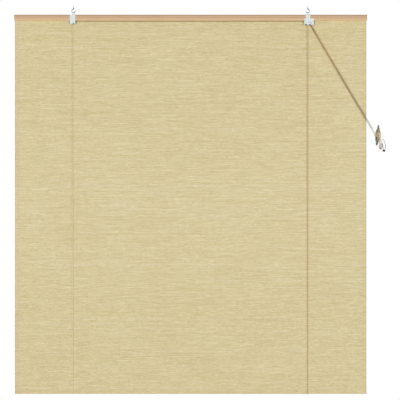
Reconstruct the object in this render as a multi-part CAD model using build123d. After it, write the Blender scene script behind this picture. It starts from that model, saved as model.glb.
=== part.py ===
from build123d import *
import math
import os

os.makedirs("parts", exist_ok=True)

# A roll-up blind of woven bamboo, hung from two screw hooks in the ceiling.
# X runs to the right and Z up; Y runs back, away from the room.
# The origin is midway between the two hooks, level with the ceiling. The mat's middle plane is y = 0.

# Mat and battens
mat_width = 1500.0
mat_drop = 1617.6
mat_thick = 1.6
rail_overhang = 2.5
rail_height = 24.0
front_rail_depth = 9.0
rear_rail_depth = 5.0
rail_edge = 1.6
batten_height = 18.0
batten_depth = 8.0
batten_edge = 1.5
nail_count = 4
nail_end_margin = 60.0
nail_radius = 0.8
nail_head_radius = 1.7
nail_head_thick = 0.6
rail_nail_stop = 2.0
batten_nail_stop = 1.5

# Ceiling hooks
hook_spacing = 1000.0
hook_drop = 19.8
wire_radius = 1.8
bowl_radius = 7.3
neck_radius = 3.0
bowl_sweep = 272.0
collar_radius = 3.6
collar_thick = 1.6
thread_radius = 1.45
thread_length = 9.5
thread_tip = 3.5

# Hanger brackets, folded from sheet
sheet = 1.2
fold_radius = 2.6
bridge_rise = 4.5
eye_height = 8.8
eye_bore = 2.5
eye_rim = 2.5
eye_thick = 2.4
seat_gap = 0.3
mat_to_cheek = 0.8
cheek_drop = 1.6
corner_radius = 3.0
screw_drop = 12.0
screw_radius = 1.4
screw_length = 11.5
screw_head_radius = 2.9
screw_head_thick = 1.7
screw_head_edge = 0.8
tab_hole_clearance = 0.25

left_strap_width = 12.8
left_plate_from = -15.0
left_plate_to = 8.5
left_plate_top = 0.0
left_plate_below = 15.6

right_strap_width = 19.6
right_plate_from = -15.8
right_plate_to = 25.6
right_plate_top = -15.8
right_plate_below = 19.5
bridge_from = 0.3
bridge_to = 3.7
mouth_radius = 4.0
left_mouths = [0.0]
right_mouths = [-8.4, 8.4]
joint_overlap = 0.5

# Cords and pulleys
cord_diameter = 2.3
groove_pitch_radius = 4.2
flange_radius = 5.4
wheel_edge = 0.3
groove_clearance = 0.2
groove_spacing = 3.2
pulley_side_gap = 0.2
left_wheel_width = 3.6
boss_radius = 2.6
axle_radius = 1.25
axle_clearance = 0.05
axle_head_radius = 2.5
axle_head_thick = 0.9
axle_rear_head_thick = 0.5
left_cord_x = -505.3
right_cord_x = 497.6
cord_run_gap = 3.7
seam_below_pulley = 2.0
anchor_stand_off = 1.5
batten_gap = 0.3
edge_gap = 0.7
left_cord_drift = 2.3
right_cord_drift = 0.9
knot_radius = 3.9
knot_length = 11.5
knot_edge = 1.3
knot_lean = 102.0

# Cord lock
roller_radius = 4.0
roller_flutes = 12
flute_depth = 0.35
roller_below_pulley = 1.5
lock_travel = 4.0
lock_slope = 50.0
lock_head_gap = 0.1

# Wall cleat
wall_y = 13.0
cleat_from_mat = 47.1
cleat_z = -542.8
cleat_tilt = 5.6
cleat_length = 88.0
cleat_stand = 20.0
cleat_width = 8.6
horn_thick = 5.0
horn_tip_width = 5.6
horn_lift = 2.5
neck_length = 27.0
foot_length = 40.0
foot_width = 14.0
foot_thick = 3.0
cleat_screw_spacing = 14.0
cleat_screw_radius = 1.75
cleat_thread_radius = 1.35
cleat_screw_head_radius = 3.1
cleat_screw_recess = 0.6
cleat_screw_depth = 12.0
winding_clearance = 0.25
winding_back = 10.5
winding_depth = 20.5
lobe_offset = 24.0
lobe_radius = 12.5
waist_width = 20.0
waist_blend = 8.0
winding_edge = 2.0
horn_root = 8.0
neck_blend = 4.0
foot_flare = 3.0

# Places worked out from the sizes above
cord_radius = cord_diameter / 2
hook_x = hook_spacing / 2
rail_length = mat_width + 2 * rail_overhang
cleat_x = mat_width / 2 + cleat_from_mat
eye_z = -hook_drop - (eye_bore - wire_radius - seat_gap)
rail_top = eye_z - eye_height
rail_bottom = rail_top - rail_height
mat_bottom = rail_top - mat_drop
mat_front = -mat_thick / 2
mat_back = mat_thick / 2
rail_front = mat_front - front_rail_depth
rail_back = mat_back + rear_rail_depth
plate_front = rail_front - sheet
cheek_back = mat_front - mat_to_cheek
cheek_front = cheek_back - sheet
leg_back = rail_back + sheet
batten_back = mat_back + batten_depth
wheel_back = cheek_front - pulley_side_gap
wheel_front = rail_front + pulley_side_gap
rear_groove_y = (wheel_front + wheel_back + groove_spacing) / 2
front_groove_y = rear_groove_y - groove_spacing
cord_run_z = rail_bottom - cord_run_gap
pulley_z = cord_run_z - groove_pitch_radius
left_pulley_x = left_cord_x + groove_pitch_radius
right_pulley_x = right_cord_x + groove_pitch_radius
lock_cord_x = right_pulley_x + groove_pitch_radius
roller_turn_radius = roller_radius + groove_clearance + cord_radius
roller_x = lock_cord_x + roller_turn_radius
roller_z = pulley_z - roller_below_pulley
seam_z = pulley_z - seam_below_pulley
anchor_y = leg_back + cord_radius + anchor_stand_off
anchor_z = seam_z
tab_hole_radius = cord_radius + tab_hole_clearance


def block(x_from, x_to, y_from, y_to, z_from, z_to):
    """A box between two corners."""
    box = Box(x_to - x_from, y_to - y_from, z_to - z_from)
    return Pos((x_from + x_to) / 2, (y_from + y_to) / 2, (z_from + z_to) / 2) * box


def rod(x, z, y_from, y_to, radius):
    """A round bar along Y."""
    foot = Plane(origin=(x, y_to, z), x_dir=(1, 0, 0), z_dir=(0, -1, 0))
    return extrude(foot * Circle(radius), amount=y_to - y_from)


def turned(x, z, outline):
    """A turned piece on an axis along Y; the outline's points are (radius, y)."""
    return Pos(x, 0, z) * revolve(make_face(Polyline(*outline, close=True)), axis=Axis.Y)


def cord_groove(x, y):
    """The groove that a cord lies in, as the ring to be cut away."""
    room = cord_radius + groove_clearance
    flat = room * 0.41
    return turned(x, pulley_z, [
        (groove_pitch_radius - room, y - flat),
        (groove_pitch_radius - flat, y - room),
        (flange_radius + 1, y - room),
        (flange_radius + 1, y + room),
        (groove_pitch_radius - flat, y + room),
        (groove_pitch_radius - room, y + flat),
    ])


def tube(name, points, radii):
    """A round cord along straight runs joined by tangent arcs."""
    path = FilletPolyline(*points, radius=radii)
    section = Plane(origin=path @ 0, z_dir=path % 0) * Circle(cord_radius)
    solid = sweep(section, path=path)
    share = solid.volume / (math.pi * cord_radius**2 * path.length)
    print(name, "length", round(path.length, 1), "radii", radii, "volume share", round(share, 4))
    return solid


def corner_radii(points):
    """The largest arc that fits each corner of a loose cord."""
    radii = []
    for before, here, after in zip(points, points[1:], points[2:]):
        run_in = Vector(here) - Vector(before)
        run_out = Vector(after) - Vector(here)
        half_turn = math.radians(run_in.get_angle(run_out)) / 2
        shorter = min(run_in.length, run_out.length)
        radii.append(round(0.45 * shorter / math.tan(half_turn), 2))
    return radii


def save(name, shape):
    """Writes one sub-part."""
    shape.label = name
    export_step(shape, f"parts/{name}.step")


# Head rails: two planed battens with eased edges, one each side of the mat
def rail(y_from, y_to):
    bar = block(-rail_length / 2, rail_length / 2, y_from, y_to, rail_bottom, rail_top)
    return fillet(bar.edges().filter_by(Axis.X), rail_edge)


def nail_places():
    """Evenly spaced along the battens, with a margin at each end."""
    first = -mat_width / 2 + nail_end_margin
    pitch = (mat_width - 2 * nail_end_margin) / (nail_count - 1)
    return [first + pitch * number for number in range(nail_count)]


def nail(x, z, y_head, y_point):
    """A wire nail with a flat head and a pointed end; it may be driven either way."""
    way = 1 if y_point > y_head else -1
    return turned(x, z, [
        (0, y_head),
        (nail_head_radius, y_head),
        (nail_head_radius, y_head + way * nail_head_thick),
        (nail_radius, y_head + way * nail_head_thick),
        (nail_radius, y_point - way * 2 * nail_radius),
        (0, y_point),
    ])


rail_nail_z = rail_top - rail_height / 2
rail_nails = [nail(x, rail_nail_z, rail_back, rail_front + rail_nail_stop) for x in nail_places()]
batten_nail_z = mat_bottom + batten_height / 2
batten_nails = [nail(x, batten_nail_z, mat_front, batten_back - batten_nail_stop) for x in nail_places()]


def hanger_screw(x):
    """A pan-head wood screw through the bracket's rear leg, the rear rail and the mat."""
    z = rail_top - screw_drop
    return turned(x, z, [
        (0, leg_back + screw_head_thick),
        (screw_head_radius - screw_head_edge, leg_back + screw_head_thick),
        (screw_head_radius, leg_back + screw_head_thick - screw_head_edge),
        (screw_head_radius, leg_back),
        (screw_radius, leg_back),
        (screw_radius, leg_back - screw_length + 2 * screw_radius),
        (0, leg_back - screw_length),
    ])


hanger_screws = [hanger_screw(-hook_x), hanger_screw(hook_x)]

front_rail = rail(rail_front, mat_front)
rear_rail = rail(mat_back, rail_back)
woven_mat = block(-mat_width / 2, mat_width / 2, mat_front, mat_back, mat_bottom, rail_top)
bottom_batten = block(
    -mat_width / 2, mat_width / 2, mat_back, batten_back, mat_bottom, mat_bottom + batten_height
)
bottom_batten = fillet(bottom_batten.edges().filter_by(Axis.X).group_by(Axis.Y)[-1], batten_edge)
for fastener in rail_nails + hanger_screws:
    front_rail -= fastener
    rear_rail -= fastener
    woven_mat -= fastener
for fastener in batten_nails:
    woven_mat -= fastener
    bottom_batten -= fastener


# Ceiling hook: bent wire with a pressed-on collar and a screw point; its bowl opens to the right
def ceiling_hook():
    ring_z = -hook_drop + bowl_radius
    bend_height = math.sqrt(bowl_radius**2 + 2 * neck_radius * bowl_radius)
    bend_angle = math.degrees(math.atan2(bend_height, neck_radius))
    neck_end = ring_z + bend_height
    shank = Line((0, 0), (0, neck_end))
    bend = JernArc(start=shank @ 1, tangent=(0, -1), radius=neck_radius, arc_size=-bend_angle)
    bowl = JernArc(start=bend @ 1, tangent=bend % 1, radius=bowl_radius, arc_size=bowl_sweep)
    path = Plane.XZ * Curve([shank, bend, bowl])
    wire = sweep(Plane(origin=(0, 0, 0), z_dir=(0, 0, -1)) * Circle(wire_radius), path=path)
    tip = path @ 1
    rims = wire.edges().filter_by(GeomType.CIRCLE)
    cut_end = min(rims, key=lambda rim: (rim.arc_center - tip).length)
    wire = chamfer(cut_end, wire_radius * 0.4)
    collar = Pos(0, 0, -collar_thick / 2) * Cylinder(collar_radius, collar_thick)
    collar = chamfer(collar.edges().group_by(Axis.Z)[0], collar_thick * 0.5)
    thread = Pos(0, 0, thread_length / 2) * Cylinder(thread_radius, thread_length)
    point = Pos(0, 0, thread_length + thread_tip / 2) * Cone(thread_radius, 0.25, thread_tip)
    return wire + collar + thread + point


hook = ceiling_hook()
hook_left = Pos(-hook_x, 0, 0) * hook
hook_right = Pos(hook_x, 0, 0) * mirror(hook, about=Plane.YZ)


# Hanger brackets: a strap over both rails, an eye on its top, and a folded cheek box under the rail
def strap(x, width):
    """The strap runs up the rail's front, over a raised bridge and down the back to the cord's tab."""
    inner = [
        (rail_front, rail_bottom),
        (rail_front, rail_top + bridge_rise - sheet),
        (rail_back, rail_top + bridge_rise - sheet),
        (rail_back, anchor_z - sheet),
        (anchor_y + tab_hole_radius + sheet, anchor_z - sheet),
    ]
    folds = [fold_radius, fold_radius, sheet]
    line = FilletPolyline(*inner, radius=folds)
    section = make_face(line.wire().offset_2d(sheet, side=Side.LEFT))
    return extrude(Plane(origin=(x, 0, 0), x_dir=(0, 1, 0), z_dir=(1, 0, 0)) * section, width / 2, both=True)


def eye(x):
    """The upright ear with the round hole that the hook's bowl goes through."""
    foot = rail_top + bridge_rise - sheet / 2
    outer = eye_bore + eye_rim
    face = Pos(0, eye_z) * Circle(outer)
    face += make_face(Polyline((-outer, foot), (outer, foot), (outer, eye_z), (-outer, eye_z), close=True))
    face -= Pos(0, eye_z) * Circle(eye_bore)
    side = Plane(origin=(x, 0, 0), x_dir=(0, 1, 0), z_dir=(1, 0, 0))
    return extrude(side * face, eye_thick / 2, both=True)


def cheeks(x, x_from, x_to, top, below, closed_side, mouths):
    """Front plate, side web and rear cheek of one sheet, with half-round mouths in the plate's lower edge."""
    x_closed = x + (x_to if closed_side > 0 else x_from)
    x_open = x + (x_from if closed_side > 0 else x_to)
    inset = x_closed - closed_side * sheet
    inner = [(x_open, rail_front), (inset, rail_front), (inset, cheek_front), (x_open, cheek_front)]
    line = FilletPolyline(*inner, radius=[sheet, sheet])
    side = Side.RIGHT if closed_side > 0 else Side.LEFT
    section = make_face(line.wire().offset_2d(sheet, side=side))
    box_top = rail_bottom - cheek_drop
    low = rail_bottom - below
    box = extrude(Pos(0, 0, low) * section, box_top - low)
    plate = block(x + x_from, x + x_to, plate_front, rail_front, box_top - joint_overlap, rail_top + top)
    outline = Pos(x + (x_from + x_to) / 2, (rail_top + top + low) / 2) * RectangleRounded(
        x_to - x_from, rail_top + top - low, corner_radius
    )
    trim = extrude(Plane.XZ * outline, 60, both=True)
    folded = (box + plate) & trim
    for mouth in mouths:
        folded -= rod(x + mouth, low, plate_front - sheet, rail_front + sheet / 2, mouth_radius)
    return folded


def bracket(x, strap_width, x_from, x_to, top, below, closed_side, mouths):
    body = strap(x, strap_width) + eye(x)
    body += cheeks(x, x_from, x_to, top, below, closed_side, mouths)
    body -= rod(x, rail_top - screw_drop, rail_back - 1.0, leg_back + 1.0, screw_radius)
    hole = Pos(x, anchor_y, anchor_z - sheet / 2) * Cylinder(tab_hole_radius, 3 * sheet)
    return body - hole


hanger_left = bracket(
    -hook_x,
    left_strap_width,
    left_plate_from,
    left_plate_to,
    left_plate_top,
    left_plate_below,
    -1,
    left_mouths,
)
hanger_left -= rod(left_pulley_x, pulley_z, plate_front - 1, cheek_back + 1, axle_radius)

hanger_right = bracket(
    hook_x,
    right_strap_width,
    right_plate_from,
    right_plate_to,
    right_plate_top,
    right_plate_below,
    1,
    right_mouths,
)
hanger_right -= rod(right_pulley_x, pulley_z, plate_front - 1, cheek_back + 1, axle_radius)

# The lock's slots slant down and away from the cords; a narrow bridge joins the cheeks between the mouths
slot_angle = math.radians(lock_slope)
lock_way = (math.sin(slot_angle), -math.cos(slot_angle))
slot_radius = axle_radius + axle_clearance
slot_end = (roller_x + lock_travel * lock_way[0], roller_z + lock_travel * lock_way[1])
slot = rod(roller_x, roller_z, plate_front - 1, cheek_back + 1, slot_radius)
slot += rod(slot_end[0], slot_end[1], plate_front - 1, cheek_back + 1, slot_radius)
slot_middle = Pos(
    (roller_x + slot_end[0]) / 2, (plate_front + cheek_back) / 2, (roller_z + slot_end[1]) / 2
)
slot += slot_middle * Rot(0, 90 - lock_slope, 0) * Box(
    lock_travel, cheek_back - plate_front + 2, 2 * slot_radius
)
hanger_right -= slot
right_low = rail_bottom - right_plate_below
hanger_right += block(
    hook_x + bridge_from,
    hook_x + bridge_to,
    rail_front - joint_overlap,
    cheek_front + joint_overlap,
    right_low,
    right_low + sheet,
)


# Pulleys and their riveted axles
def riveted_axle(x, z, gap):
    """A pin with a domed front head and a flat spread rear head; the gap is left under each."""
    front = plate_front - gap
    back = cheek_back + gap
    return turned(x, z, [
        (0, front - axle_head_thick),
        (axle_head_radius * 0.55, front - axle_head_thick),
        (axle_head_radius * 0.9, front - axle_head_thick * 0.55),
        (axle_head_radius, front),
        (axle_radius, front),
        (axle_radius, back),
        (axle_head_radius * 0.85, back),
        (axle_head_radius * 0.75, back + axle_rear_head_thick - gap),
        (0, back + axle_rear_head_thick - gap),
    ])


def pulley(x, y_front, y_back, grooves):
    """A moulded wheel with a groove for each cord and a plain bore."""
    bore = axle_radius + axle_clearance
    wheel = turned(x, pulley_z, [
        (bore, y_front),
        (flange_radius - wheel_edge, y_front),
        (flange_radius, y_front + wheel_edge),
        (flange_radius, y_back - wheel_edge),
        (flange_radius - wheel_edge, y_back),
        (bore, y_back),
    ])
    for y in grooves:
        wheel -= cord_groove(x, y)
    return wheel


left_wheel_front = rear_groove_y - left_wheel_width / 2
left_boss = turned(left_pulley_x, pulley_z, [
    (axle_radius + axle_clearance, wheel_front),
    (boss_radius, wheel_front),
    (boss_radius, left_wheel_front + wheel_edge),
    (axle_radius + axle_clearance, left_wheel_front + wheel_edge),
])
pulley_left = pulley(left_pulley_x, left_wheel_front, wheel_back, [rear_groove_y]) + left_boss
pulley_right = pulley(right_pulley_x, wheel_front, wheel_back, [rear_groove_y, front_groove_y])
pulley_axle_left = riveted_axle(left_pulley_x, pulley_z, 0)
pulley_axle_right = riveted_axle(right_pulley_x, pulley_z, 0)

# Lock roller and its sliding axle
lock_axle = riveted_axle(roller_x, roller_z, lock_head_gap)
lock_roller = turned(roller_x, roller_z, [
    (axle_radius + axle_clearance, wheel_front),
    (roller_radius - wheel_edge, wheel_front),
    (roller_radius, wheel_front + wheel_edge),
    (roller_radius, wheel_back - wheel_edge),
    (roller_radius - wheel_edge, wheel_back),
    (axle_radius + axle_clearance, wheel_back),
])
flute = make_face(Polyline(
    (roller_radius - flute_depth, 0),
    (roller_radius + flute_depth, flute_depth * 1.6),
    (roller_radius + flute_depth, -flute_depth * 1.6),
    close=True,
))
for number in range(roller_flutes):
    turn = Plane.XZ * Rot(0, 0, 360 * number / roller_flutes)
    lock_roller -= Pos(roller_x, 0, roller_z) * extrude(turn * flute, 20)


# Anchor knots: each lift cord ends in a knot that sits on its bracket's rear tab
def anchor_knot(x):
    radius = cord_diameter * 1.05
    height = cord_diameter * 1.6
    barrel = Pos(x, anchor_y, anchor_z + height / 2) * Cylinder(radius, height)
    return chamfer(barrel.edges().filter_by(GeomType.CIRCLE), radius * 0.3)


anchor_knots = [anchor_knot(-hook_x), anchor_knot(hook_x)]

# Lift cords: down the back, under the batten and up the front to the pulley
under_z = mat_bottom - edge_gap - cord_radius
back_y = batten_back + batten_gap + cord_radius
front_y = mat_front - edge_gap - cord_radius
under_radius = cord_radius + batten_gap + batten_edge


def lift_route(anchor_x, under_x, front_x, groove_y):
    return [
        (anchor_x, anchor_y, anchor_z),
        (under_x, back_y, under_z),
        (under_x, front_y, under_z),
        (front_x, groove_y, seam_z),
    ]


left_lift = lift_route(-hook_x, left_cord_x + left_cord_drift, left_cord_x, rear_groove_y)
right_lift = lift_route(hook_x, right_cord_x + right_cord_drift, right_cord_x, front_groove_y)
lift_cord_left = tube("lift_cord_left", left_lift, [under_radius, under_radius])
lift_cord_right = tube("lift_cord_right", right_lift, [under_radius, under_radius])


def by_cleat(right, out, up):
    """A place to the right of the cleat's middle, out from the wall and up."""
    return (cleat_x + right, wall_y - out, cleat_z + up)


# Pull cords: over the pulleys, down past the lock roller and on to the cleat.
# The two arcs over the right pulley meet at its top, so they are a hair under the groove's size.
cleat_entry = [by_cleat(-7.9, 19.2, -2.0), by_cleat(-5.7, 21.8, -0.6)]
lock_half_turn = math.atan2(cleat_entry[0][0] - lock_cord_x, roller_z - cleat_entry[0][2]) / 2
lock_turn_z = roller_z - roller_turn_radius * math.tan(lock_half_turn)
pulley_arc = groove_pitch_radius - 0.01
left_pull = [
    (left_cord_x, rear_groove_y, seam_z),
    (left_cord_x, rear_groove_y, cord_run_z),
    (lock_cord_x, rear_groove_y, cord_run_z),
    (lock_cord_x, rear_groove_y, lock_turn_z),
    cleat_entry[0],
]
right_pull = [
    (right_cord_x, front_groove_y, seam_z),
    (right_cord_x, front_groove_y, cord_run_z),
    (lock_cord_x, front_groove_y, cord_run_z),
    (lock_cord_x, front_groove_y, lock_turn_z),
    cleat_entry[1],
]
pull_radii = [pulley_arc, pulley_arc, roller_turn_radius]
pull_cord_left = tube("pull_cord_left", left_pull, pull_radii)
pull_cord_right = tube("pull_cord_right", right_pull, pull_radii)

# Tails: the two cord ends hang out of the winding and are tied together
left_tail_route = [
    by_cleat(9.4, 20.5, -23.2),
    by_cleat(12.4, 20.0, -38.2),
    by_cleat(16.9, 19.6, -52.2),
    by_cleat(24.4, 19.5, -63.7),
]
right_tail_route = [
    by_cleat(8.4, 22.5, -10.2),
    by_cleat(24.9, 22.6, -24.2),
    by_cleat(33.9, 21.2, -42.2),
    by_cleat(32.9, 20.0, -56.7),
    by_cleat(27.7, 19.5, -64.2),
]
tail_left = tube("tail_left", left_tail_route, corner_radii(left_tail_route))
tail_right = tube("tail_right", right_tail_route, corner_radii(right_tail_route))
tail_knot = chamfer(Cylinder(knot_radius, knot_length).edges().filter_by(GeomType.CIRCLE), knot_edge)
tail_knot = Pos(*by_cleat(26.7, 19.5, -66.0)) * Rot(0, knot_lean, 0) * tail_knot
for end in (tail_left, tail_right):
    tail_knot -= end


# Wall cleat: a foot against the wall, a neck and two horns that lift away from it
def cleat_shape(extra):
    """The cleat in its own frame, wall side at y = 0; extra grows it all round."""
    tip = cleat_length / 2 + extra
    front = -cleat_stand - extra
    under = -cleat_stand + horn_thick + extra
    neck = neck_length / 2 + extra
    foot = foot_length / 2 + extra
    lift = horn_lift
    front_line = ThreePointArc((-tip, front - lift), (0, front), (tip, front - lift))
    half = [
        (tip, front - lift),
        (tip, front - lift + horn_thick * 0.7 + 2 * extra),
        (neck + horn_root, under + 0.6),
        (neck, under + neck_blend),
        (neck, -foot_thick - foot_flare - extra),
        (neck + foot_flare, -foot_thick - extra),
        (foot, -foot_thick - extra),
        (foot, extra),
    ]
    other = [(-z, y) for z, y in reversed(half)]
    profile = make_face([front_line, Polyline(*half, *other)])
    across = Plane(origin=(0, 0, 0), x_dir=(0, 0, 1), z_dir=(1, 0, 0))
    side = extrude(across * mirror(profile, about=Plane.XZ), foot_width, both=True)
    horn = Polyline(
        (-horn_tip_width / 2 - extra, -tip),
        (-cleat_width / 2 - extra, 0),
        (-horn_tip_width / 2 - extra, tip),
        (horn_tip_width / 2 + extra, tip),
        (cleat_width / 2 + extra, 0),
        (horn_tip_width / 2 + extra, -tip),
        close=True,
    )
    outline = fillet(make_face(horn).vertices(), 2.4)
    horns = extrude(Plane.XZ * outline, cleat_stand + 10, both=True)
    foot_outline = RectangleRounded(foot_width + 2 * extra, 2 * foot, foot_width / 2 - 0.5)
    foot_zone = extrude(Plane.XZ * foot_outline, foot_thick + foot_flare + extra)
    foot_zone += extrude(Plane.XZ * foot_outline, -1)
    return side & (horns + foot_zone)


cleat_place = Pos(cleat_x, wall_y, cleat_z) * Rot(0, cleat_tilt, 0)


def cleat_screw(z):
    """A countersunk wood screw through the neck into the wall."""
    front = -cleat_stand + cleat_screw_recess
    cone = cleat_screw_head_radius - cleat_screw_radius
    return turned(0, z, [
        (0, front),
        (cleat_screw_head_radius, front),
        (cleat_screw_radius, front + cone),
        (cleat_screw_radius, 0),
        (cleat_thread_radius, 0),
        (cleat_thread_radius, cleat_screw_depth),
        (0, cleat_screw_depth + 2 * cleat_thread_radius),
    ])


screw_heights = [cleat_screw_spacing / 2, -cleat_screw_spacing / 2]
screws = [cleat_screw(z) for z in screw_heights]
cleat = cleat_shape(0)
for screw, z in zip(screws, screw_heights):
    cleat -= screw
    cleat -= rod(0, z, -cleat_stand - 2, -cleat_stand + cleat_screw_recess, cleat_screw_head_radius)

# Winding: the figure-eight turns, as one body with two lobes round the horns
winding_outline = Pos(0, lobe_offset) * Circle(lobe_radius) + Pos(0, -lobe_offset) * Circle(lobe_radius)
winding_outline += Rectangle(waist_width, 2 * lobe_offset)
winding_outline = fillet(winding_outline.vertices(), waist_blend)
winding = extrude(Plane.XZ * Pos(0, 0, winding_back) * winding_outline, winding_depth)
rims = winding.edges().group_by(Axis.Y)
winding = chamfer(rims[0] + rims[-1], winding_edge)
winding -= cleat_shape(winding_clearance)

cleat = cleat_place * cleat
winding = cleat_place * winding
cleat_screws = [cleat_place * screw for screw in screws]
for cord in (pull_cord_left, pull_cord_right, tail_left, tail_right):
    winding -= cord

save("front_rail", front_rail)
save("rear_rail", rear_rail)
save("rail_nails", Compound(rail_nails))
save("woven_mat", woven_mat)
save("bottom_batten", bottom_batten)
save("batten_nails", Compound(batten_nails))
save("hook_left", hook_left)
save("hook_right", hook_right)
save("hanger_left", hanger_left)
save("hanger_right", hanger_right)
save("hanger_screws", Compound(hanger_screws))
save("pulley_left", pulley_left)
save("pulley_right", pulley_right)
save("pulley_axle_left", pulley_axle_left)
save("pulley_axle_right", pulley_axle_right)
save("lock_axle", lock_axle)
save("lock_roller", lock_roller)
save("anchor_knots", Compound(anchor_knots))
save("lift_cord_left", lift_cord_left)
save("lift_cord_right", lift_cord_right)
save("pull_cord_left", pull_cord_left)
save("pull_cord_right", pull_cord_right)
save("tail_left", tail_left)
save("tail_right", tail_right)
save("tail_knot", tail_knot)
save("cleat", cleat)
save("cleat_screws", Compound(cleat_screws))
save("cord_winding", winding)
print("left pulley", left_pulley_x, pulley_z, "right pulley", right_pulley_x, pulley_z)
print("roller", roller_x, roller_z, "lock way", lock_way, "anchor z", anchor_z, "rail top", rail_top)
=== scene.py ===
import math
import random

import bpy
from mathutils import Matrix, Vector


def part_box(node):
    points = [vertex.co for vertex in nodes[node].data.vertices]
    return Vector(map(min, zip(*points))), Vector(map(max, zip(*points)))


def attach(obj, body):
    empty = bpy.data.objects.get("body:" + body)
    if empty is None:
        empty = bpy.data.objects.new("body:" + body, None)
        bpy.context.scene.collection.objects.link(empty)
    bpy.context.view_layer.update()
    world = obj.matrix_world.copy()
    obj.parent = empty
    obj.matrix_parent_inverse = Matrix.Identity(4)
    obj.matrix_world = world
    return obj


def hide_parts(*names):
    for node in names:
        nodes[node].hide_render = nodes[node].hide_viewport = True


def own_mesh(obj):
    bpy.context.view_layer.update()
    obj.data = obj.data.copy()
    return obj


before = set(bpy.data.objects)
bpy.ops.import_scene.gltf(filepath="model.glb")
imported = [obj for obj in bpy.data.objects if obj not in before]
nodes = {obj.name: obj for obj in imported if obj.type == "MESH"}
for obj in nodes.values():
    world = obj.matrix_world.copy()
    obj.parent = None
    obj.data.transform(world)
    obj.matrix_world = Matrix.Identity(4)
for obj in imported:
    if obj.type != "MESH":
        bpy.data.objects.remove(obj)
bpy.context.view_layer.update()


# Head rails. Two planed softwood battens nailed together with the mat between them.
# The wood is left bare, pinkish beige, with long straight grain and a few darker pores.
# Both keep their CAD shapes.
def new_material(name, roughness, metallic=0.0):
    material = bpy.data.materials.new(name)
    material.use_nodes = True
    shader = material.node_tree.nodes["Principled BSDF"]
    shader.inputs["Roughness"].default_value = roughness
    shader.inputs["Metallic"].default_value = metallic
    return material, material.node_tree, shader


def linear(red, green, blue):
    """A colour as a paint chart gives it, 0 to 255, turned into the shader's own scale."""
    out = []
    for part in (red, green, blue):
        part /= 255.0
        out.append(part / 12.92 if part <= 0.04045 else ((part + 0.055) / 1.055) ** 2.4)
    return (*out, 1.0)


def place_on_part(tree, scale):
    """Texture places on the part itself, stretched by a scale for each axis."""
    spot = tree.nodes.new("ShaderNodeTexCoord")
    stretch = tree.nodes.new("ShaderNodeMapping")
    stretch.inputs["Scale"].default_value = scale
    tree.links.new(spot.outputs["Object"], stretch.inputs["Vector"])
    return stretch.outputs["Vector"]


def grain(tree, place, scale, detail, roughness=0.55):
    noise = tree.nodes.new("ShaderNodeTexNoise")
    noise.inputs["Scale"].default_value = scale
    noise.inputs["Detail"].default_value = detail
    noise.inputs["Roughness"].default_value = roughness
    tree.links.new(place, noise.inputs["Vector"])
    return noise.outputs["Fac"]


def tone(tree, value, stops):
    """Turns a number into a colour along stops of (place, colour)."""
    ramp = tree.nodes.new("ShaderNodeValToRGB")
    while len(ramp.color_ramp.elements) < len(stops):
        ramp.color_ramp.elements.new(0.5)
    for element, (at, colour) in zip(ramp.color_ramp.elements, stops):
        element.position = at
        element.color = colour
    tree.links.new(value, ramp.inputs["Fac"])
    return ramp.outputs["Color"]


def mixed(tree, way, amount, first, second):
    """Two colours put together; the amount may be a number or another node's output."""
    mix = tree.nodes.new("ShaderNodeMix")
    mix.data_type = "RGBA"
    mix.blend_type = way
    if isinstance(amount, float):
        mix.inputs[0].default_value = amount
    else:
        tree.links.new(amount, mix.inputs[0])
    for socket, value in ((mix.inputs[6], first), (mix.inputs[7], second)):
        if isinstance(value, tuple):
            socket.default_value = value
        else:
            tree.links.new(value, socket)
    return mix.outputs[2]


def bumped(tree, shader, height, strength, distance):
    bump = tree.nodes.new("ShaderNodeBump")
    bump.inputs["Strength"].default_value = strength
    bump.inputs["Distance"].default_value = distance
    tree.links.new(height, bump.inputs["Height"])
    tree.links.new(bump.outputs["Normal"], shader.inputs["Normal"])


def own_place(tree, axis):
    """How far along X, Y or Z a spot lies, in the frame's metres."""
    spot = tree.nodes.new("ShaderNodeTexCoord")
    parts = tree.nodes.new("ShaderNodeSeparateXYZ")
    tree.links.new(spot.outputs["Object"], parts.inputs[0])
    return parts.outputs[axis]


def share_between(tree, value, low, high):
    """0 at the low value and below it, 1 at the high one and above."""
    span = tree.nodes.new("ShaderNodeMapRange")
    span.inputs["From Min"].default_value = low
    span.inputs["From Max"].default_value = high
    tree.links.new(value, span.inputs["Value"])
    return span.outputs["Result"]


def tone_by_height(tree, stops):
    """A colour for each height; stops are (height, colour) from the lowest up."""
    low, high = stops[0][0], stops[-1][0]
    rise = share_between(tree, own_place(tree, "Z"), low, high)
    return tone(tree, rise, [((height - low) / (high - low), colour) for height, colour in stops])


def planed_wood(name, light, dark, streak, painted_light_by_height=None):
    """Long grain with darker pores; painted_light_by_height is a list of (height, colour) that paints light
    and shade on the wood by height.
    """
    material, tree, shader = new_material(name, 0.62)
    fibres = grain(tree, place_on_part(tree, (1.2, 60, 60)), 14.0, 6.0, 0.6)
    rings = grain(tree, place_on_part(tree, (0.9, 12, 26)), 9.0, 3.0)
    pores = grain(tree, place_on_part(tree, (9, 400, 400)), 9.0, 2.0)
    colour = tone(tree, fibres, [(0.3, dark), (0.72, light)])
    ring_mask = tone(tree, rings, [(0.46, (0, 0, 0, 1)), (0.75, (1, 1, 1, 1))])
    colour = mixed(tree, "MIX", ring_mask, colour, streak)
    pore_mask = tone(tree, pores, [(0.60, (1, 1, 1, 1)), (0.72, (0.62, 0.60, 0.58, 1))])
    colour = mixed(tree, "MULTIPLY", 0.5, colour, pore_mask)
    # Painted light and shade by height, where given.
    if painted_light_by_height is not None:
        colour = mixed(tree, "MULTIPLY", 1.0, colour, tone_by_height(tree, painted_light_by_height))
    tree.links.new(colour, shader.inputs["Base Color"])
    bumped(tree, shader, fibres, 0.25, 0.0004)
    return material


def dress(node, material):
    nodes[node].data.materials.clear()
    nodes[node].data.materials.append(material)
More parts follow.
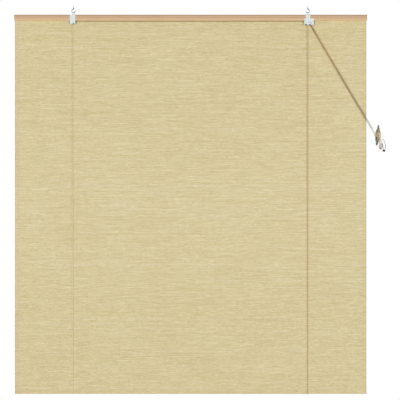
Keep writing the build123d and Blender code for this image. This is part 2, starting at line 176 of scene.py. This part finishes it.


# The lower edge is painted lighter, as painted light against the shade on its rounded underside, and the top
# edge is painted darker as painted shade; each stop is a share of the rail's height.
rail_low, rail_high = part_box("front_rail")
rail_painted_light = [
    (rail_low.z + share * (rail_high.z - rail_low.z), tint)
    for share, tint in (
        (0.0, (1.62, 1.70, 1.72, 1)),
        (0.12, (1.20, 1.25, 1.23, 1)),
        (0.36, (1.06, 1.09, 1.07, 1)),
        (0.42, (1, 1, 1, 1)),
        (0.80, (1, 1, 1, 1)),
        (0.86, (0.70, 0.67, 0.67, 1)),
    )
]
rail_wood = planed_wood(
    "planed_rail_wood", linear(198, 167, 133), linear(176, 141, 106), linear(188, 162, 123), rail_painted_light
)
for rail in ("front_rail", "rear_rail"):
    dress(rail, rail_wood)


# Nails and screws. Bright wire nails hold the rails and the bottom batten, and a pan-head
# screw from behind holds each bracket. Drawn steel with a slightly uneven, dull shine.
# All keep their CAD shapes.
def drawn_steel(name, colour, roughness, stretch=(300, 300, 300)):
    material, tree, shader = new_material(name, roughness, 1.0)
    marks = grain(tree, place_on_part(tree, stretch), 4.0, 4.0)
    shade = tuple(part * 0.72 for part in colour[:3]) + (1.0,)
    tree.links.new(tone(tree, marks, [(0.35, shade), (0.6, colour)]), shader.inputs["Base Color"])
    bumped(tree, shader, marks, 0.15, 0.0001)
    return material


nail_steel = drawn_steel("nail_steel", linear(186, 184, 178), 0.42)
for fastener in ("rail_nails", "batten_nails", "hanger_screws"):
    dress(fastener, nail_steel)


# Woven mat. Split bamboo slats about 2.4 mm tall lie edge to edge, each a little bowed and wavy,
# round on the front and flat behind. Each has its own tone, with long fibre streaks along it.
# It stands for the plain CAD sheet.
slat_random = random.Random(41)
mat_low, mat_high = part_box("woven_mat")
mat_width = mat_high.x - mat_low.x
mat_drop = mat_high.z - mat_low.z
slat_count = 640
slat_pitch = mat_drop / slat_count
slat_runs = 24
slat_face = 0.00075
slat_back = 0.00062
slat_edge_depth = 0.35
slat_end_play = 0.0008


def slat_mesh():
    points, faces, tones, numbers = [], [], [], []
    for number in range(slat_count):
        middle = mat_high.z - (number + 0.5) * slat_pitch
        height = slat_pitch * slat_random.uniform(0.93, 0.985)
        left = mat_low.x + slat_random.uniform(0.0, slat_end_play)
        right = mat_high.x - slat_random.uniform(0.0, slat_end_play)
        swing = [slat_random.uniform(0, 6.28) for _ in range(3)]
        tilt = slat_random.uniform(-0.00006, 0.00006)
        own_tone = slat_random.random()
        for place in range(slat_runs + 1):
            share = place / slat_runs
            x = left + (right - left) * share
            wave = 0.00004 * math.sin(9 * share + swing[0]) + 0.00003 * math.sin(23 * share + swing[1])
            bow = 0.00006 * math.sin(14 * share + swing[2])
            half = height / 2 * (1 + 0.03 * math.sin(31 * share + swing[1]))
            z = middle + wave + tilt * (share - 0.5) * 2
            face = -slat_face + bow
            points += [
                (x, slat_back + bow, z - half),
                (x, face * slat_edge_depth, z - half),
                (x, face, z),
                (x, face * slat_edge_depth, z + half),
                (x, slat_back + bow, z + half),
            ]
            tones += [own_tone] * 5
            numbers += [number * 1.37] * 5
        start = len(points) - (slat_runs + 1) * 5
        for run in range(slat_runs):
            for side in range(5):
                a = start + run * 5 + side
                b = start + run * 5 + (side + 1) % 5
                faces.append((a, a + 5, b + 5, b))
        faces.append(tuple(start + side for side in range(5)))
        faces.append(tuple(start + slat_runs * 5 + side for side in reversed(range(5))))
    mesh = bpy.data.meshes.new("woven_slats")
    mesh.from_pydata(points, [], faces)
    mesh.attributes.new("slat_tone", "FLOAT", "POINT").data.foreach_set("value", tones)
    mesh.attributes.new("slat_number", "FLOAT", "POINT").data.foreach_set("value", numbers)
    return mesh


def stored(tree, name):
    """A number that the mesh carries at each of its points."""
    attribute = tree.nodes.new("ShaderNodeAttribute")
    attribute.attribute_name = name
    return attribute.outputs["Fac"]


def maths(tree, operation, *values):
    """One sum; each value is a number or another node's output."""
    step = tree.nodes.new("ShaderNodeMath")
    step.operation = operation
    for socket, value in zip(step.inputs, values):
        if isinstance(value, float):
            socket.default_value = value
        else:
            tree.links.new(value, socket)
    return step.outputs[0]


def put(name, mesh, material):
    piece = bpy.data.objects.new(name, mesh)
    bpy.context.scene.collection.objects.link(piece)
    piece.data.materials.append(material)
    return piece


def slat_streaks(tree, number, per_metre, shift, detail):
    """Streaks along the slats, different on each; the number tells the slats apart."""
    along = place_on_part(tree, (per_metre, 0, 0))
    apart = tree.nodes.new("ShaderNodeCombineXYZ")
    tree.links.new(number, apart.inputs["Y"])
    apart.inputs["Z"].default_value = shift
    both = tree.nodes.new("ShaderNodeVectorMath")
    both.operation = "ADD"
    tree.links.new(along, both.inputs[0])
    tree.links.new(apart.outputs[0], both.inputs[1])
    return grain(tree, both.outputs[0], 1.0, detail)


bamboo, tree, shader = new_material("split_bamboo", 0.6)
shader.inputs["Specular IOR Level"].default_value = 0.22
colour = tone(tree, stored(tree, "slat_tone"), [(0.0, linear(233, 221, 183)), (1.0, linear(236, 223, 188))])
slat_number = stored(tree, "slat_number")
for per_metre, shift, detail, dark in (
    (95.0, 3.5, 1.0, (0.80, 0.785, 0.70, 1)),
    (24.0, 11.5, 1.0, (0.83, 0.81, 0.70, 1)),
    (8.0, 17.5, 1.0, (0.90, 0.89, 0.82, 1)),
):
    streaks = slat_streaks(tree, slat_number, per_metre, shift, detail)
    colour = mixed(tree, "MULTIPLY", 1.0, colour, tone(tree, streaks, [(0.2, dark), (0.8, (1, 1, 1, 1))]))
patches = grain(tree, place_on_part(tree, (1, 1, 1)), 5.0, 1.0)
patch_tint = tone(tree, patches, [(0.25, (0.98, 0.97, 0.94, 1)), (0.75, (1, 1, 1, 1))])
colour = mixed(tree, "MULTIPLY", 1.0, colour, patch_tint)
fine_fibres = grain(tree, place_on_part(tree, (60, 1, 3000)), 1.0, 2.0)
fibre_tint = tone(tree, fine_fibres, [(0.3, (0.86, 0.85, 0.82, 1)), (0.6, (1, 1, 1, 1))])
colour = mixed(tree, "MULTIPLY", 0.5, colour, fibre_tint)
cut_end_starts = mat_width / 2 - 0.0042
cut_end_stops = mat_width / 2 - 0.0002
from_middle = maths(tree, "ABSOLUTE", own_place(tree, "X"))
at_end = share_between(tree, from_middle, cut_end_starts, cut_end_stops)
cut_ends = tone(tree, at_end, [(0.0, (1, 1, 1, 1)), (1.0, (0.66, 0.68, 0.80, 1))])
colour = mixed(tree, "MULTIPLY", 1.0, colour, cut_ends)
tree.links.new(colour, shader.inputs["Base Color"])
bumped(tree, shader, fine_fibres, 0.3, 0.0002)

mat = put("bamboo_slats", slat_mesh(), bamboo)
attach(mat, "root")
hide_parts("woven_mat")
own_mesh(mat)


# Warp threads. Thin tan cotton threads run down the mat about 50 mm apart, one over and one under
# each slat by turns, and a closer pair is stitched along each side to stop the slats slipping out.
warp_spacing = 0.05
warp_radius = 0.00028
warp_count = round(mat_width / warp_spacing) - 1
over_slats = -slat_face - warp_radius * 0.8
behind_slats = slat_back - warp_radius * 0.43
tuck = 0.0004


def thread_mesh(name, lines):
    """Threads that pass in front of one slat and behind the next; lines are (x, first side)."""
    points, faces = [], []
    ring = [(warp_radius, 0), (0, warp_radius), (-warp_radius, 0), (0, -warp_radius)]
    for x, side in lines:
        start = len(points)
        for number in range(slat_count + 1):
            z = mat_high.z - number * slat_pitch
            y = over_slats if (number + side) % 2 == 0 else behind_slats
            if number in (0, slat_count):
                y = 0.0
            if number == 0:
                z -= tuck
            for dx, dy in ring:
                points.append((x + dx, y + dy, z))
            if number:
                low = start + number * 4
                for k in range(4):
                    faces.append((low - 4 + k, low - 4 + (k + 1) % 4, low + (k + 1) % 4, low + k))
        faces.append(tuple(start + k for k in range(4)))
        faces.append(tuple(start + slat_count * 4 + k for k in reversed(range(4))))
    mesh = bpy.data.meshes.new(name)
    mesh.from_pydata(points, [], faces)
    return mesh


def twisted_cotton(name, dark, light):
    material, tree, shader = new_material(name, 0.85)
    twist = grain(tree, place_on_part(tree, (2500, 2500, 900)), 1.0, 2.0)
    tree.links.new(tone(tree, twist, [(0.3, dark), (0.65, light)]), shader.inputs["Base Color"])
    return material


warp_cotton = twisted_cotton("warp_cotton", linear(196, 180, 136), linear(222, 208, 168))
edge_cotton = twisted_cotton("edge_cotton", linear(206, 172, 124), linear(230, 198, 150))
warp_lines = [mat_low.x + mat_width * (number + 1) / (warp_count + 1) for number in range(warp_count)]
edge_insets = (0.012, 0.0145)
edge_shift = 0.0006
edge_lines = [mat_low.x + inset for inset in edge_insets]
edge_lines += [mat_high.x - inset for inset in reversed(edge_insets)]
warp = put("warp_threads", thread_mesh("warp_threads", [(x, 0) for x in warp_lines]), warp_cotton)
edge = put(
    "edge_stitching",
    thread_mesh("edge_stitching", [(x + edge_shift * side, side) for x in edge_lines for side in (0, 1)]),
    edge_cotton,
)
for piece in (warp, edge):
    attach(piece, "root")
    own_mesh(piece)


# Bottom batten. A slim bare wood strip, nailed on behind the mat's lower edge, which the cords lift.
# It keeps its CAD shape.
batten_wood = planed_wood("batten_wood", linear(222, 200, 160), linear(200, 176, 134), linear(212, 190, 148))
dress("bottom_batten", batten_wood)


# Ceiling hooks. Bent plated steel wire with a pressed-on collar, painted almost black, screwed up into the
# ceiling.
# The hooks keep their CAD shapes; the bright wood thread is a thin ridge wound round each blank.
hook_steel = drawn_steel("plated_hook_steel", linear(128, 142, 152), 0.3, (120, 120, 120))
thread_steel = drawn_steel("bright_thread_steel", linear(206, 207, 206), 0.3, (120, 120, 120))
tree = hook_steel.node_tree
shader = tree.nodes["Principled BSDF"]
plain = shader.inputs["Base Color"].links[0].from_socket
# The collar band is painted almost black, and the shank above it is brightened to match the thread.
at_collar = tone_by_height(tree, [
    (-0.01200, (1, 1, 1, 1)),
    (-0.00525, (1, 1, 1, 1)),
    (-0.00375, (0.16, 0.14, 0.13, 1)),
    (-0.00015, (0.16, 0.14, 0.13, 1)),
    (0.00060, (2.4, 2.0, 1.8, 1)),
])
tree.links.new(mixed(tree, "MULTIPLY", 1.0, plain, at_collar), shader.inputs["Base Color"])
hook_reach = 0.5
shank_radius = 0.00145
thread_turns = 7
thread_fade = 6
thread_low = 0.0008
thread_high = 0.0094
ridge_height = 0.0004
ridge_half = 0.00035
steps_a_turn = 20


def screw_thread(name, x):
    """A three-sided ridge wound up the shank, fading out over its first and last turn."""
    points, faces = [], []
    total = thread_turns * steps_a_turn
    foot = shank_radius * 0.92
    for step in range(total + 1):
        angle = 2 * math.pi * step / steps_a_turn
        share = step / total
        z = thread_low + (thread_high - thread_low) * share
        fade = min(1.0, thread_fade * share, thread_fade * (1 - share))
        crest = shank_radius + ridge_height * max(fade, 0.05)
        for reach, rise in ((foot, -ridge_half), (crest, 0.0), (foot, ridge_half)):
            points.append((x + reach * math.cos(angle), reach * math.sin(angle), z + rise))
        if step:
            a = len(points) - 6
            for k in range(3):
                n = (k + 1) % 3
                faces.append((a + k, a + n, a + 3 + n, a + 3 + k))
    faces.append((2, 1, 0))
    faces.append((len(points) - 3, len(points) - 2, len(points) - 1))
    mesh = bpy.data.meshes.new(name)
    mesh.from_pydata(points, [], faces)
    return mesh


for hook, hook_x in (("hook_left", -hook_reach), ("hook_right", hook_reach)):
    dress(hook, hook_steel)
    ridge = put(f"{hook}_thread", screw_thread(f"{hook}_thread", hook_x), thread_steel)
    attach(ridge, "root")


# Hanger brackets. Folded sheet steel, white stove enamel over the metal, hooked over both rails.
# Each carries the eye for its hook and the cheeks for its pulley; inside the cheeks, behind the front
# plate and below the rails, the colour is a dark grey as painted shade. They keep their CAD shapes.
front_plate_back = -0.0099
cheeks_top = -0.0545
# Painted shade for the hollow inside the cheeks, behind the front plate and below the rails.
inside_painted_shade = linear(92, 90, 82)
enamel, tree, shader = new_material("white_enamel", 0.34)
mottle = grain(tree, place_on_part(tree, (90, 90, 90)), 2.0, 4.0)
painted = tone(tree, mottle, [(0.3, linear(198, 206, 205)), (0.6, linear(212, 217, 215))])
behind_plate = maths(tree, "GREATER_THAN", own_place(tree, "Y"), front_plate_back)
under_rail = maths(tree, "LESS_THAN", own_place(tree, "Z"), cheeks_top)
shaded_inside_box = maths(tree, "MULTIPLY", behind_plate, under_rail)
tree.links.new(mixed(tree, "MIX", shaded_inside_box, painted, inside_painted_shade), shader.inputs["Base Color"])
shader.inputs["Coat Weight"].default_value = 0.25
shader.inputs["Coat Roughness"].default_value = 0.2
bumped(tree, shader, grain(tree, place_on_part(tree, (700, 700, 700)), 1.0, 2.0), 0.12, 0.0001)
for side in ("left", "right"):
    dress(f"hanger_{side}", enamel)


# Pulleys, axles and the lock roller. Moulded white wheels turn on riveted steel pins; the fluted
# brass roller slides down its slanted slots and pinches both cords. All keep their CAD shapes.
moulded, tree, shader = new_material("moulded_white_wheel", 0.38)
haze = grain(tree, place_on_part(tree, (300, 300, 300)), 1.0, 3.0)
tree.links.new(
    tone(tree, haze, [(0.3, linear(222, 221, 214)), (0.7, linear(236, 235, 230))]),
    shader.inputs["Base Color"],
)
axle_steel = drawn_steel("axle_steel", linear(176, 178, 186), 0.3)
roller_brass = drawn_steel("roller_brass", linear(206, 178, 110), 0.36)
for side in ("left", "right"):
    dress(f"pulley_{side}", moulded)
    dress(f"pulley_axle_{side}", axle_steel)
dress("lock_axle", axle_steel)
dress("lock_roller", roller_brass)


# Lift cords. Round braided cotton cord, 2.3 mm thick. Each is knotted above its bracket's rear tab,
# runs down behind the mat, under the batten and up the front to its pulley.
# A cord's line is a smooth spline through its route, and its braid is wound along that line.
cord_diameter = 0.0023


def smooth_line(name, route):
    """Closely spaced points of the route's smooth spline, read from a curve with no thickness."""
    curve = bpy.data.curves.new(f"{name}_line", "CURVE")
    curve.dimensions = "3D"
    curve.resolution_u = 24
    spline = curve.splines.new("NURBS")
    spline.points.add(len(route) - 1)
    for point, place in zip(spline.points, route):
        point.co = (*[part / 1000.0 for part in place], 1.0)
    spline.order_u = 3
    spline.use_endpoint_u = True
    holder = bpy.data.objects.new(f"{name}_line", curve)
    bpy.context.scene.collection.objects.link(holder)
    bpy.context.view_layer.update()
    line = bpy.data.meshes.new_from_object(holder)
    points = [vertex.co.copy() for vertex in line.vertices]
    bpy.data.objects.remove(holder)
    bpy.data.meshes.remove(line)
    return points


def evenly(points, step):
    """The same line with points no further apart than the step, and none too close."""
    out = [points[0]]
    for here in points[1:]:
        gap = (here - out[-1]).length
        if gap < step * 0.5:
            if here is points[-1] and len(out) > 1:
                out[-1] = here
            continue
        parts = max(1, math.ceil(gap / step))
        last = out[-1]
        out += [last.lerp(here, part / parts) for part in range(1, parts + 1)]
    return out


strands_each_way = 4
strand_lay = 0.006
strand_depth = 0.06
strand_waves = 2200.0


def braided_tube(name, points, radius, sides):
    """A round tube along the points; the way along and round it is stored for the material."""
    vertices, faces, along_list, around_list = [], [], [], []
    side_way = None
    run = 0.0
    for index, here in enumerate(points):
        before = points[max(index - 1, 0)]
        after = points[min(index + 1, len(points) - 1)]
        forward = (after - before).normalized()
        if side_way is None:
            side_way = forward.orthogonal().normalized()
        side_way = (side_way - forward * side_way.dot(forward)).normalized()
        other = forward.cross(side_way)
        if index:
            run += (here - before).length
        for side in range(sides):
            angle = 2 * math.pi * side / sides
            swell = 0.5 + 0.5 * math.cos(strands_each_way * angle + 2 * math.pi * run / strand_lay)
            out = radius * (1 - strand_depth * swell)
            vertices.append(here + out * (math.cos(angle) * side_way + math.sin(angle) * other))
            along_list.append(run)
            around_list.append(angle)
        if index:
            low = (index - 1) * sides
            for side in range(sides):
                nxt = (side + 1) % sides
                faces.append((low + side, low + nxt, low + sides + nxt, low + sides + side))
    faces.append(tuple(reversed(range(sides))))
    faces.append(tuple(range(len(vertices) - sides, len(vertices))))
    mesh = bpy.data.meshes.new(name)
    mesh.from_pydata([tuple(vertex) for vertex in vertices], [], faces)
    mesh.attributes.new("run", "FLOAT", "POINT").data.foreach_set("value", along_list)
    mesh.attributes.new("around", "FLOAT", "POINT").data.foreach_set("value", around_list)
    for polygon in mesh.polygons:
        polygon.use_smooth = True
    return mesh


def braided_cotton(name, light, dark, tints_and_painted_light=None):
    """Two sets of strands cross round the cord, so the tone is a fine chequer of both: lighter strand crowns
    and darker painted shade in the grooves between them.

    Tints_and_painted_light is a list of (height, colour): tints along the cord's hang, with painted light
    and shade among them."""
    material, tree, shader = new_material(name, 0.9)
    run = stored(tree, "run")
    around = stored(tree, "around")
    waves = []
    for way in (1.0, -1.0):
        turned = maths(tree, "MULTIPLY", around, strands_each_way * way)
        waves.append(maths(tree, "SINE", maths(tree, "MULTIPLY_ADD", run, strand_waves, turned)))
    chequer = maths(tree, "MULTIPLY_ADD", maths(tree, "MULTIPLY", *waves), 0.5, 0.5)
    fuzz = grain(tree, place_on_part(tree, (900, 900, 900)), 1.0, 3.0)
    fuzz_tint = tone(tree, fuzz, [(0.3, (0.8, 0.79, 0.75, 1)), (0.7, (1, 1, 1, 1))])
    colour = mixed(tree, "MULTIPLY", 0.5, tone(tree, chequer, [(0.1, dark), (0.8, light)]), fuzz_tint)
    if tints_and_painted_light is not None:
        colour = mixed(tree, "MULTIPLY", 1.0, colour, tone_by_height(tree, tints_and_painted_light))
    tree.links.new(colour, shader.inputs["Base Color"])
    shader.inputs["Sheen Weight"].default_value = 0.15
    bumped(tree, shader, chequer, 0.4, 0.0002)
    return material


# The pull cords are darker brown at their hanging ends, painted lighter where they are wound on the cleat as
# painted light against the shade the turns cast on each other, grey along the free run beside the mat, and
# darker again just under the lock as painted shade.
hanging_end_dark = (0.27, 0.18, 0.12, 1)
wound_painted_light = (1.05, 1.48, 2.05, 1)
free_run_grey = (0.27, 0.34, 0.22, 1)
lower_run = (0.72, 0.78, 0.80, 1)
under_lock_painted_shade = (0.60, 0.60, 0.66, 1)
cord_cotton = braided_cotton("braided_cord", linear(214, 172, 112), linear(142, 112, 68), [
    (-0.5864, hanging_end_dark),
    (-0.56064, wound_painted_light),
    (-0.51416, wound_painted_light),
    (-0.50856, free_run_grey),
    (-0.47608, free_run_grey),
    (-0.46152, lower_run),
    (-0.284, lower_run),
    (-0.2392, (1, 1, 1, 1)),
    (-0.12496, (1, 1, 1, 1)),
    (-0.0936, under_lock_painted_shade),
])
# The knot joining the tails is painted near-black brown as painted shade between its tight turns.
knot_cord_painted_shade = braided_cotton("knot_painted_shade", linear(86, 75, 60), linear(58, 50, 40))
# The two lift cords are the same cord: the left one is painted paler as painted light that offsets the shade
# it takes lying close to the mat.
left_lift_painted_light = braided_cotton("left_lift_cord_painted_light", linear(244, 230, 190), linear(232, 216, 176))
right_lift_cotton = braided_cotton("right_lift_cord", linear(226, 192, 150), linear(176, 144, 104))


def lay_cord(name, route, sides, step, cotton, nodes_replaced):
    points = evenly(smooth_line(name, route), step)
    piece = put(name, braided_tube(name, points, cord_diameter / 2, sides), cotton)
    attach(piece, "root")
    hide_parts(*nodes_replaced)
    return piece


lift_routes = {
    "left": [
        (-500.0, 9.65, -62.9),
        (-503.0, 10.25, -1634.6),
        (-503.0, 10.25, -1648.45),
        (-503.0, -2.65, -1648.45),
        (-503.0, -2.65, -1634.6),
        (-505.3, -4.7, -62.9),
    ],
    "right": [
        (500.0, 9.65, -62.9),
        (498.5, 10.25, -1634.6),
        (498.5, 10.25, -1648.45),
        (498.5, -2.65, -1648.45),
        (498.5, -2.65, -1634.6),
        (497.6, -7.9, -62.9),
    ],
}
lift_cotton = {"left": left_lift_painted_light, "right": right_lift_cotton}
for side, route in lift_routes.items():
    lift = lay_cord(
        f"braided_lift_cord_{side}", route, 8, 0.006, lift_cotton[side], [f"lift_cord_{side}"],
    )
    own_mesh(lift)
dress("anchor_knots", cord_cotton)


# Pull cords. The same cord goes on over the pulleys, down past the lock roller and slantwise to
# the cleat. There both are wound in a figure of eight round the horns, the pair side by side, and
# their ends hang out at the lower right and are tied together.
cleat_middle = (797.1, 13.0, -542.8)
cleat_tilt = math.radians(5.6)
half_pair = 1.17


def on_cleat(across, up, out):
    """A place by the cleat: across to the right, up along the horns, out from the wall."""
    x = cleat_middle[0] + across * math.cos(cleat_tilt) + up * math.sin(cleat_tilt)
    z = cleat_middle[2] - across * math.sin(cleat_tilt) + up * math.cos(cleat_tilt)
    return (x, cleat_middle[1] - out, z)


def down_side(way, start, reach, depth, front, wide):
    """From the front beside a horn to behind its tip end: (across, up, out), always to the right."""
    near_tip = way * (reach - 2.4)
    middle = start + 0.5 * (near_tip - start)
    return [
        ((10.6 - 0.0080 * start**2) * wide, start, front - 0.6),
        ((10.2 - 0.0082 * middle**2) * wide, middle, (front + depth) / 2 + 1.5),
        (4.4, near_tip, depth + 1.2),
        (2.0, way * reach, depth),
    ]


def lobe(way, before, after, reach, depth, front, wide):
    """Behind one horn from left to right; before and after are the heights of the crossings."""
    there = down_side(way, before + way * 9.0, reach, depth, front, wide)
    back = down_side(way, after + way * 9.0, reach, depth, front + 1.0, wide)
    places = [(-across, up, out) for across, up, out in there] + back[::-1]
    return [on_cleat(*place) for place in places]


def crossing(climbing, height, beside, out):
    """Over the front of the cleat: climbing to the upper left, or coming down to the lower left."""
    lean = 0.66 if climbing else -0.66
    return [on_cleat(beside * lean, height + beside * 0.75, out)]


def winding(member):
    """Four turns of one cord of the pair, which lies outside below and inside above, or the reverse."""
    beside = half_pair if member == 0 else -half_pair
    return [
        *lobe(-1, -4.0, -2.0, 19.6 + beside, 10.4, 20.4, 0.84),
        *crossing(True, 0.0, beside, 21.3),
        *lobe(1, 0.0, 0.0, 20.0 - beside, 10.6, 21.4, 0.80),
        *crossing(False, 1.0, beside, 23.6),
        *lobe(-1, -1.0, 2.0, 24.0 + beside, 11.8, 22.6, 0.92),
        *crossing(True, 6.6, beside, 25.4),
        *lobe(1, 6.0, 7.0, 24.6 - beside, 12.0, 23.8, 0.86),
        *crossing(False, 7.6, beside, 26.4),
        *lobe(-1, 2.0, -7.0, 28.4 + beside, 13.0, 24.6, 0.98),
        *crossing(True, -7.0, beside, 27.4),
        *lobe(1, -5.0, -5.0, 28.6 - beside, 13.2, 26.0, 1.04),
        *crossing(False, -17.0, beside, 28.4),
        *lobe(-1, -22.0, -5.0, 37.0 + beside, 14.6, 25.4, 1.16),
        *crossing(True, 18.5, beside, 28.6),
        *lobe(1, 20.5, 8.0, 33.2 - beside, 14.4, 26.0, 1.0),
    ]


pull_routes = {
    "left": [
        (-505.3, -4.7, -62.9),
        (-505.3, -4.7, -56.7),
        (-491.5, -4.7, -56.7),
        (492.2, -4.7, -56.7),
        (506.0, -4.7, -56.7),
        (506.0, -4.7, -63.86),
        (512.6, -4.8, -76.0),
        (534.6, -5.0, -116.1),
        (640.7, -5.6, -298.2),
        (766.5, -6.4, -507.6),
        (783.1, -6.2, -536.8),
        *winding(0),
        on_cleat(10.6, 4.0, 27.5),
        on_cleat(11.6, -10.0, 25.5),
        (805.0, -7.0, -567.0),
        (803.4, -5.6, -581.0),
        (804.2, -5.0, -596.0),
        (806.4, -4.8, -600.4),
        (809.8, -4.4, -600.4),
        (812.0, -4.2, -596.0),
        (812.4, -3.8, -583.0),
        (813.8, -3.6, -577.4),
        (817.4, -3.6, -577.4),
        (819.2, -3.8, -583.0),
        (820.6, -4.8, -595.0),
        (821.5, -6.5, -606.5),
    ],
    "right": [
        (497.6, -7.9, -62.9),
        (497.6, -7.9, -56.7),
        (506.0, -7.9, -56.7),
        (506.0, -7.9, -63.86),
        (513.4, -7.95, -75.4),
        (537.9, -8.0, -114.2),
        (644.6, -8.3, -296.0),
        (770.3, -8.8, -505.4),
        (786.5, -8.8, -534.8),
        *winding(1),
        on_cleat(12.6, 3.0, 27.5),
        on_cleat(12.2, -9.0, 25.5),
        (808.8, -10.6, -563.0),
        (807.6, -10.0, -582.0),
        (808.0, -9.8, -599.0),
        (810.2, -9.8, -603.2),
        (813.8, -9.9, -603.2),
        (816.0, -10.2, -599.0),
        (816.0, -11.2, -582.0),
        (813.8, -13.2, -566.0),
        (815.2, -13.4, -560.4),
        (818.8, -12.6, -558.6),
        (822.8, -11.2, -562.0),
        (826.5, -9.8, -570.0),
        (831.0, -8.2, -585.0),
        (830.0, -7.0, -599.5),
        (824.8, -6.5, -607.0),
    ],
}
for side, route in pull_routes.items():
    replaced = [f"pull_cord_{side}", f"tail_{side}"] + (["cord_winding"] if side == "left" else [])
    lay_cord(
        f"braided_pull_cord_{side}", route, 10, 0.0025, cord_cotton, replaced,
    )
dress("tail_knot", knot_cord_painted_shade)


# Wall cleat. A dark grey moulded cleat with two horns, held to the wall by two countersunk
# screws through its neck. Both keep their CAD shapes.
cleat_grey, tree, shader = new_material("dark_grey_cleat", 0.42)
cast = grain(tree, place_on_part(tree, (250, 250, 250)), 1.0, 4.0)
tree.links.new(
    tone(tree, cast, [(0.3, linear(74, 74, 72)), (0.7, linear(96, 96, 92))]),
    shader.inputs["Base Color"],
)
bumped(tree, shader, cast, 0.2, 0.0002)
dress("cleat", cleat_grey)
dress("cleat_screws", nail_steel)


# Room. A plain pale floor below the blind, a white surround, and soft even light
# from the front left, the front right and high behind.
floor_z = -2.6
floor_side = 5.0
floor_front = -3.5
floor_back = 2.9
floor_corners = [
    (-floor_side, floor_front, floor_z),
    (floor_side, floor_front, floor_z),
    (floor_side, floor_back, floor_z),
    (-floor_side, floor_back, floor_z),
]
floor_mesh = bpy.data.meshes.new("floor")
floor_mesh.from_pydata(floor_corners, [], [(0, 1, 2, 3)])
floor_paint, tree, shader = new_material("pale_floor", 0.9)
shader.inputs["Base Color"].default_value = linear(244, 244, 243)
floor = put("floor", floor_mesh, floor_paint)
floor.visible_shadow = False
floor.visible_diffuse = False

surround_light = 0.285
surround_white = 1.0
world = bpy.data.worlds.new("surround")
bpy.context.scene.world = world
world.use_nodes = True
tree = world.node_tree
tree.nodes.clear()
rays = tree.nodes.new("ShaderNodeLightPath")
seen = maths(tree, "MAXIMUM", rays.outputs["Is Camera Ray"], rays.outputs["Is Glossy Ray"])
seen = maths(tree, "MAXIMUM", seen, rays.outputs["Is Transmission Ray"])
strength = tree.nodes.new("ShaderNodeMix")
strength.inputs[2].default_value = surround_light
strength.inputs[3].default_value = surround_white
tree.links.new(seen, strength.inputs[0])
surround = tree.nodes.new("ShaderNodeBackground")
surround.inputs["Color"].default_value = (1, 1, 1, 1)
tree.links.new(strength.outputs[0], surround.inputs["Strength"])
output = tree.nodes.new("ShaderNodeOutputWorld")
tree.links.new(surround.outputs[0], output.inputs["Surface"])


def soft_sun(name, comes_from, strength, spread):
    """Even light over the whole height and width, softened by its spread in degrees."""
    lamp = bpy.data.lights.new(name, "SUN")
    lamp.energy = strength
    lamp.angle = math.radians(spread)
    holder = bpy.data.objects.new(name, lamp)
    bpy.context.scene.collection.objects.link(holder)
    holder.location = Vector(comes_from) * 3
    holder.rotation_euler = Vector(comes_from).to_track_quat("Z", "Y").to_euler()


soft_sun("window_light", (-0.5, -1.0, 0.02), 1.68, 14)
soft_sun("room_fill", (0.6, -1.0, -0.16), 1.22, 26)
soft_sun("back_fill", (0.4, 0.8, 0.7), 2.6, 45)

view_width = 1.705
view_middle = (0.03985, -0.009, -0.8188)
camera_data = bpy.data.cameras.new("camera")
camera_data.lens = 180
camera_data.sensor_width = 36
camera = bpy.data.objects.new("camera", camera_data)
bpy.context.scene.collection.objects.link(camera)
camera_away = view_width * camera_data.lens / camera_data.sensor_width
camera.location = (view_middle[0], view_middle[1] - camera_away, view_middle[2])
camera.rotation_euler = (math.radians(90), 0, 0)
bpy.context.scene.camera = camera
bpy.context.scene.view_settings.view_transform = "Standard"
